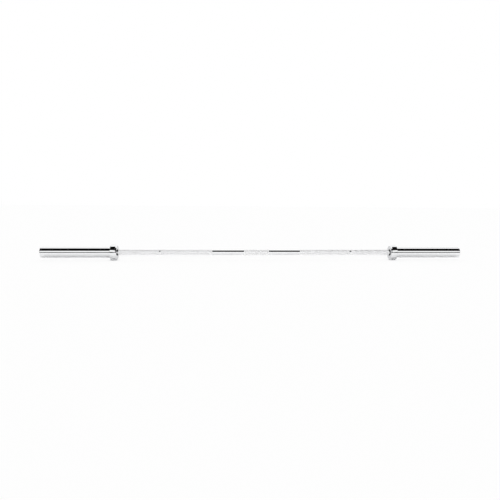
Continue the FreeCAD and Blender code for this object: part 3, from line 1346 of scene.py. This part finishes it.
@dataclass
class Studio:
    """The stage: a pale floor, two soft lamps, the room that the metal mirrors, and the camera."""

    floor_height: float = -36.0
    floor_size: float = 60.0  # metres
    floor_colour: Colour = (0.98, 0.98, 0.98)
    floor_glow: float = 0.84  # share of plain white in what the camera sees of the floor
    floor_glow_in_metal: float = 0.04  # the same share in what the metal mirrors of it
    contact_gap: float = 10.5  # what comes nearer to the floor than this darkens it
    contact_samples: int = 8
    room_light: float = 0.06  # what the room gives a surface that isn't a mirror
    top_level: float = 0.8
    top_lean: float = -27.0  # degrees, from straight up towards the camera
    top_spread: float = 110.0  # degrees
    front_level: float = 0.85
    front_lean: float = 80.0  # degrees, from straight up towards the camera
    front_spread: float = 50.0  # degrees
    ceiling_lean: float = 16.3  # degrees, from straight up towards the camera
    ceiling_half_angle: float = 32.7  # degrees
    skylight_start: float = 28.0  # degrees, to each side along the bar
    skylight_end: float = 43.0  # degrees
    ceiling_tone: float = 0.004
    skirting_height: float = 7.2  # degrees above the floor's horizon
    skirting_half_angle: float = 7.2  # degrees
    skirting_tone: float = 0.01
    doorway_middle: float = 3.7  # degrees, along the bar from straight across it
    doorway_half_angle: float = 16.0  # degrees
    lintel_lean: float = 52.0  # degrees, from straight up towards the camera
    lintel_half_angle: float = 6.0  # degrees
    edge_blur: float = 0.6  # degrees, to each side of an edge in the room
    camera_distance: float = 2.3  # metres
    camera_elevation: float = 6.0  # degrees
    camera_across: float = -0.1653  # metres
    camera_yaw: float = 4.335  # degrees
    camera_pitch: float = 5.686  # degrees
    camera_roll: float = 0.455  # degrees
    camera_lens: float = 34.49
    camera_sensor: float = 36.0
    camera_shift: float = -0.016  # of the image's width
    camera_reach: float = 200.0  # metres

    def build(self) -> None:
        """Sets the floor, the lamps, the room and the camera."""
        bpy.context.scene.view_settings.view_transform = "Standard"
        self.lay_floor()
        self.hang_lamp("top_lamp", self.top_level, self.top_lean, self.top_spread)
        self.hang_lamp("front_lamp", self.front_level, self.front_lean, self.front_spread)
        self.paint_room()
        self.place_camera()

    def lay_floor(self) -> None:
        """A wide pale floor that keeps the bar's shadow and darkens where a collar all but touches it."""
        bpy.ops.object.select_all(action="DESELECT")
        bpy.ops.mesh.primitive_plane_add(size=self.floor_size, location=(0.0, 0.0, self.floor_height * MM))
        floor = Bench.settle("studio_floor")
        material = bpy.data.materials.new("studio floor")
        material.use_nodes = True
        recipe = Recipe(material.node_tree)
        colour = recipe.rgba(self.floor_colour)
        matt = recipe.value("BSDF", "ShaderNodeBsdfDiffuse", None, {"Color": colour})
        white = recipe.value("Emission", "ShaderNodeEmission", None, {"Strength": 1.0})
        direct, mirrored, through = self.seeing_rays(recipe)
        seen = recipe.math("MAXIMUM", direct, through)
        open_air = recipe.value(
            "AO",
            "ShaderNodeAmbientOcclusion",
            {"samples": self.contact_samples},
            {"Distance": self.contact_gap * MM},
        )
        share = seen * self.floor_glow * open_air + mirrored * self.floor_glow_in_metal
        mixed = recipe.value("Shader", "ShaderNodeMixShader", None, {0: share, 1: matt, 2: white})
        recipe.node("ShaderNodeOutputMaterial", None, {"Surface": mixed})
        floor.data.materials.append(material)
        LOG.info("studio floor laid")

    @staticmethod
    def seeing_rays(recipe: Recipe) -> list[Value]:
        """Tells the rays that look at a surface apart.

        Args:
            recipe: The node tree that asks.

        Returns:
            1 or 0 for a ray from the camera, one that metal mirrors and one through glass, in that order.
        """
        ray = recipe.node("ShaderNodeLightPath")
        names = ("Is Camera Ray", "Is Glossy Ray", "Is Transmission Ray")
        return [Value(recipe, ray.outputs[name]) for name in names]

    @staticmethod
    def hang_lamp(name: str, level: float, lean: float, spread: float) -> None:
        """Hangs one wide soft lamp, which the metal doesn't mirror.

        Args:
            name: The lamp's name.
            level: What it gives a surface that faces it, where 1 shows a colour as it is written.
            lean: Degrees from straight up towards the camera.
            spread: How wide the lamp looks, in degrees.
        """
        light = bpy.data.lights.new(name, "SUN")
        light.energy = level * math.pi
        light.angle = math.radians(spread)
        lamp = bpy.data.objects.new(name, light)
        bpy.context.scene.collection.objects.link(lamp)
        lean_angle = math.radians(lean)
        lamp.rotation_euler = (lean_angle, 0.0, 0.0)
        lamp.location = (0.0, -math.sin(lean_angle), math.cos(lean_angle))
        lamp.visible_glossy = False

    def paint_room(self) -> None:
        """The room: white to the camera, an even faint light to matt surfaces, and a picture to the metal.

        The metal mirrors white walls, a dark ceiling with a skylight to each side, a dark skirting line
        above the floor's horizon, a doorway that breaks the line, and a dark lintel over the doorway.
        """
        world = bpy.data.worlds.new("studio room")
        world.use_nodes = True
        bpy.context.scene.world = world
        recipe = Recipe(world.node_tree)
        direction = recipe.value("Generated", "ShaderNodeTexCoord")
        across = recipe.vector("NORMALIZE", recipe.vector("MULTIPLY", direction, (0.0, 1.0, 1.0)))
        along = recipe.component("X", direction)
        skylight_ends = 1.0 - self.past(recipe, abs(along), self.skylight_end)
        skylight = self.past(recipe, abs(along), self.skylight_start) * skylight_ends
        ceiling = self.beam(recipe, across, self.ceiling_lean, self.ceiling_half_angle) * (1.0 - skylight)
        off_line = abs(recipe.component("Z", direction) - math.sin(math.radians(self.skirting_height)))
        off_door = abs(along - math.sin(math.radians(self.doorway_middle)))
        beside_door = self.past(recipe, off_door, self.doorway_half_angle)
        skirting = (1.0 - self.past(recipe, off_line, self.skirting_half_angle)) * beside_door
        lintel = self.beam(recipe, across, self.lintel_lean, self.lintel_half_angle) * (1.0 - beside_door)
        walls = recipe.mix(skirting, WHITE, grey(self.skirting_tone))
        overhead = recipe.math("MAXIMUM", ceiling, lintel)
        mirrored = recipe.mix(overhead, walls, grey(self.ceiling_tone))
        direct, glossy, through = self.seeing_rays(recipe)
        lit = recipe.mix(recipe.math("MAXIMUM", direct, through), grey(self.room_light), WHITE)
        shown = recipe.mix(glossy, lit, mirrored)
        background = recipe.value("Background", "ShaderNodeBackground", None, {"Color": shown})
        recipe.node("ShaderNodeOutputWorld", None, {"Surface": background})

    def beam(self, recipe: Recipe, across: Value, lean: float, half_angle: float) -> Value:
        """A dark stretch overhead, along the bar.

        Args:
            recipe: The room's node tree.
            across: The direction looked in, square to the bar.
            lean: Where the stretch has its middle, in degrees from straight up towards the camera.
            half_angle: Degrees from its middle to its edges.

        Returns:
            1 in the stretch and 0 elsewhere.
        """
        angle = math.radians(lean)
        middle = Vector((0.0, -math.sin(angle), math.cos(angle)))
        rise = recipe.measure("DOT_PRODUCT", across, middle)
        outer = math.cos(math.radians(half_angle + self.edge_blur))
        inner = math.cos(math.radians(half_angle - self.edge_blur))
        return recipe.smooth_step(rise, outer, inner)

    def past(self, recipe: Recipe, sine: Value, angle: float) -> Value:
        """A soft edge in the room.

        Args:
            recipe: The room's node tree.
            sine: The sine of the angle that is compared.
            angle: Where the edge is, in degrees.

        Returns:
            0 before the edge and 1 past it.
        """
        low = math.sin(math.radians(angle - self.edge_blur))
        high = math.sin(math.radians(angle + self.edge_blur))
        return recipe.smooth_step(sine, low, high)

    def place_camera(self) -> None:
        """The photograph's viewpoint: low, a little left of the middle, turned slightly to the right."""
        lens = bpy.data.cameras.new("photo_camera")
        lens.lens = self.camera_lens
        lens.sensor_width = self.camera_sensor
        lens.shift_x = self.camera_shift
        lens.clip_end = self.camera_reach
        camera = bpy.data.objects.new("photo_camera", lens)
        bpy.context.scene.collection.objects.link(camera)
        elevation = math.radians(self.camera_elevation)
        yaw = math.radians(self.camera_yaw)
        pitch = math.radians(self.camera_pitch)
        back = -self.camera_distance * math.cos(elevation)
        camera.location = (self.camera_across, back, self.camera_distance * math.sin(elevation))
        ahead = Vector((math.sin(yaw) * math.cos(pitch), math.cos(yaw) * math.cos(pitch), -math.sin(pitch)))
        camera.rotation_euler = ahead.to_track_quat("-Z", "Y").to_euler()
        camera.rotation_euler.rotate_axis("Z", math.radians(self.camera_roll))
        bpy.context.scene.camera = camera


def main() -> None:
    """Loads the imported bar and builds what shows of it."""
    logging.basicConfig(level=logging.INFO, format="%(message)s")
    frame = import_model()
    Studio().build()
    GripShaft().build()
    SleeveEnd().build()
    BearingStack(frame["nodes"]).build()


if __name__ == "__main__":
    main()
